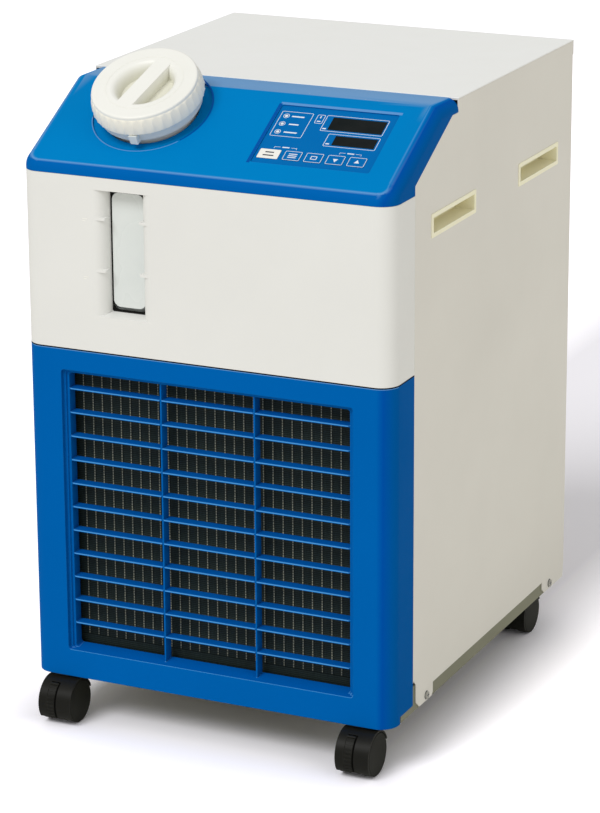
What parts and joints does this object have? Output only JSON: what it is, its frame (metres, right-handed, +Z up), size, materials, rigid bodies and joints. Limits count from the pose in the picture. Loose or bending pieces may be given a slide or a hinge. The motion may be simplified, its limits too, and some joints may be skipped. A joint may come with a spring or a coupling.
{
  "type": "recirculating chiller",
  "caption": "Compact recirculating chiller on castors: louvred air intake, level window, sloped control cowl, screw-cap filler and grab cups in its sides.",
  "frame": {"origin": "on the floor, below the middle of the whole footprint, castors and rear fittings included", "axes": "+X to the right seen from the front, +Y to the back, +Z up; the grille and display face -Y"},
  "size_m": [0.3806, 0.4944, 0.6482],
  "materials": {
    "grey_paint": "satin",
    "white_paint": "satin",
    "zinc_steel": "satin",
    "white_plastic": "fine texture",
    "blue_plastic": "fine texture",
    "overlay_film": "satin film",
    "dark_lens": "gloss",
    "lamp_lens": "gloss",
    "board": "matt",
    "natural_plastic": "satin, translucent",
    "fin_metal": "dark coated",
    "aluminium": "mill",
    "black_plastic": "matt",
    "black_paint": "semi-gloss",
    "pump_metal": "satin",
    "stainless": "satin",
    "copper": "drawn copper",
    "hose_rubber": "matt",
    "brass": "machined",
    "green_plastic": "matt",
    "screw_steel": "plated",
    "key_white": "satin",
    "key_blue": "satin",
    "seal_rubber": "matt",
    "cap_plastic": "satin",
    "cream_plastic": "satin",
    "castor_black": "matt",
    "wheel_black": "matt"
  },
  "bodies": {
    "casing": {"base_pan": "grey_paint", "castor_plates": "zinc_steel", "lid": "white_paint", "left_side_panel": "white_paint", "right_side_panel": "white_paint", "rear_panel": "white_paint", "front_grille": "blue_plastic", "upper_front_panel": "white_plastic", "control_cowl": "blue_plastic", "handle_cup_front_left": "cream_plastic", "handle_cup_front_right": "cream_plastic", "handle_cup_rear_left": "cream_plastic", "handle_cup_rear_right": "cream_plastic", "display_overlay": "overlay_film", "display_windows": "dark_lens", "status_lamps": "lamp_lens", "control_board": "board", "tank": "natural_plastic", "tank_shelf": "zinc_steel", "condenser_tubes": "aluminium", "condenser_fins": "fin_metal", "fan_shroud": "black_plastic", "fan_motor": "black_paint", "compressor": "black_paint", "pump": "pump_metal", "heat_exchanger": "stainless", "control_box": "zinc_steel", "refrigerant_pipes": "copper", "water_hoses": "hose_rubber", "outlet_port": "brass", "return_port": "brass", "drain_port": "brass", "drain_plug": "brass", "power_inlet": "black_plastic", "signal_connectors": "green_plastic", "panel_screws": "screw_steel"},
    "fan": {"fan_rotor": "black_plastic"},
    "key_run": {"key_run": "key_white"},
    "key_menu": {"key_menu": "key_blue"},
    "key_select": {"key_select": "key_blue"},
    "key_down": {"key_down": "key_blue"},
    "key_up": {"key_up": "key_blue"},
    "cap_seal": {"cap_gasket": "seal_rubber"},
    "cap": {"tank_cap": "cap_plastic"},
    "castor_front_left": {"castor_hood_front_left": "castor_black"},
    "wheel_front_left_a": {"castor_wheel_front_left_a": "wheel_black"},
    "wheel_front_left_b": {"castor_wheel_front_left_b": "wheel_black"},
    "brake_front_left": {"brake_lever_front_left": "castor_black"},
    "castor_front_right": {"castor_hood_front_right": "castor_black"},
    "wheel_front_right_a": {"castor_wheel_front_right_a": "wheel_black"},
    "wheel_front_right_b": {"castor_wheel_front_right_b": "wheel_black"},
    "brake_front_right": {"brake_lever_front_right": "castor_black"},
    "castor_rear_left": {"castor_hood_rear_left": "castor_black"},
    "wheel_rear_left_a": {"castor_wheel_rear_left_a": "wheel_black"},
    "wheel_rear_left_b": {"castor_wheel_rear_left_b": "wheel_black"},
    "castor_rear_right": {"castor_hood_rear_right": "castor_black"},
    "wheel_rear_right_a": {"castor_wheel_rear_right_a": "wheel_black"},
    "wheel_rear_right_b": {"castor_wheel_rear_right_b": "wheel_black"}
  },
  "joints": [
    {"name": "fan_spin", "type": "hinge", "parent": "casing", "child": "fan", "pos_m": [0, -0.157, 0.212], "axis": [0, 1, 0], "continuous": true},
    {"name": "key_run_press", "type": "slide", "parent": "casing", "child": "key_run", "axis": [0, 0.481, -0.8767], "range_m": [0, 0.0005], "stiffness_N_per_m": 400, "springref_m": -0.001},
    {"name": "key_menu_press", "type": "slide", "parent": "casing", "child": "key_menu", "axis": [0, 0.481, -0.8767], "range_m": [0, 0.0005], "stiffness_N_per_m": 400, "springref_m": -0.001},
    {"name": "key_select_press", "type": "slide", "parent": "casing", "child": "key_select", "axis": [0, 0.481, -0.8767], "range_m": [0, 0.0005], "stiffness_N_per_m": 400, "springref_m": -0.001},
    {"name": "key_down_press", "type": "slide", "parent": "casing", "child": "key_down", "axis": [0, 0.481, -0.8767], "range_m": [0, 0.0005], "stiffness_N_per_m": 400, "springref_m": -0.001},
    {"name": "key_up_press", "type": "slide", "parent": "casing", "child": "key_up", "axis": [0, 0.481, -0.8767], "range_m": [0, 0.0005], "stiffness_N_per_m": 400, "springref_m": -0.001},
    {"name": "cap_lift", "type": "slide", "parent": "casing", "child": "cap_seal", "axis": [0, -0.481, 0.8767], "range_m": [0, 0.012]},
    {"name": "cap_turn", "type": "hinge", "parent": "cap_seal", "child": "cap", "pos_m": [-0.087, -0.16122, 0.6124], "axis": [0, -0.481, 0.8767], "range_deg": [0, 540]},
    {"name": "swivel_front_left", "type": "hinge", "parent": "casing", "child": "castor_front_left", "pos_m": [-0.157, -0.204, 0.044], "axis": [0, 0, 1], "continuous": true},
    {"name": "roll_front_left_a", "type": "hinge", "parent": "castor_front_left", "child": "wheel_front_left_a", "pos_m": [-0.1685, -0.224, 0.021], "axis": [1, 0, 0], "continuous": true},
    {"name": "roll_front_left_b", "type": "hinge", "parent": "castor_front_left", "child": "wheel_front_left_b", "pos_m": [-0.1455, -0.224, 0.021], "axis": [1, 0, 0], "continuous": true},
    {"name": "brake_lift_front_left", "type": "hinge", "parent": "castor_front_left", "child": "brake_front_left", "pos_m": [-0.161, -0.23681, 0.03998], "axis": [-1, 0, 0], "range_deg": [0, 12]},
    {"name": "swivel_front_right", "type": "hinge", "parent": "casing", "child": "castor_front_right", "pos_m": [0.157, -0.204, 0.044], "axis": [0, 0, 1], "continuous": true},
    {"name": "roll_front_right_a", "type": "hinge", "parent": "castor_front_right", "child": "wheel_front_right_a", "pos_m": [0.1455, -0.224, 0.021], "axis": [1, 0, 0], "continuous": true},
    {"name": "roll_front_right_b", "type": "hinge", "parent": "castor_front_right", "child": "wheel_front_right_b", "pos_m": [0.1685, -0.224, 0.021], "axis": [1, 0, 0], "continuous": true},
    {"name": "brake_lift_front_right", "type": "hinge", "parent": "castor_front_right", "child": "brake_front_right", "pos_m": [0.153, -0.23681, 0.03998], "axis": [-1, 0, 0], "range_deg": [0, 12]},
    {"name": "swivel_rear_left", "type": "hinge", "parent": "casing", "child": "castor_rear_left", "pos_m": [-0.157, 0.195, 0.044], "axis": [0, 0, 1], "continuous": true},
    {"name": "roll_rear_left_a", "type": "hinge", "parent": "castor_rear_left", "child": "wheel_rear_left_a", "pos_m": [-0.1685, 0.175, 0.021], "axis": [1, 0, 0], "continuous": true},
    {"name": "roll_rear_left_b", "type": "hinge", "parent": "castor_rear_left", "child": "wheel_rear_left_b", "pos_m": [-0.1455, 0.175, 0.021], "axis": [1, 0, 0], "continuous": true},
    {"name": "swivel_rear_right", "type": "hinge", "parent": "casing", "child": "castor_rear_right", "pos_m": [0.157, 0.195, 0.044], "axis": [0, 0, 1], "continuous": true},
    {"name": "roll_rear_right_a", "type": "hinge", "parent": "castor_rear_right", "child": "wheel_rear_right_a", "pos_m": [0.1455, 0.175, 0.021], "axis": [1, 0, 0], "continuous": true},
    {"name": "roll_rear_right_b", "type": "hinge", "parent": "castor_rear_right", "child": "wheel_rear_right_b", "pos_m": [0.1685, 0.175, 0.021], "axis": [1, 0, 0], "continuous": true}
  ],
  "couplings": [
    {"joint": "cap_lift", "follows": "cap_turn", "m_per_rad": 0.001273}
  ]
}
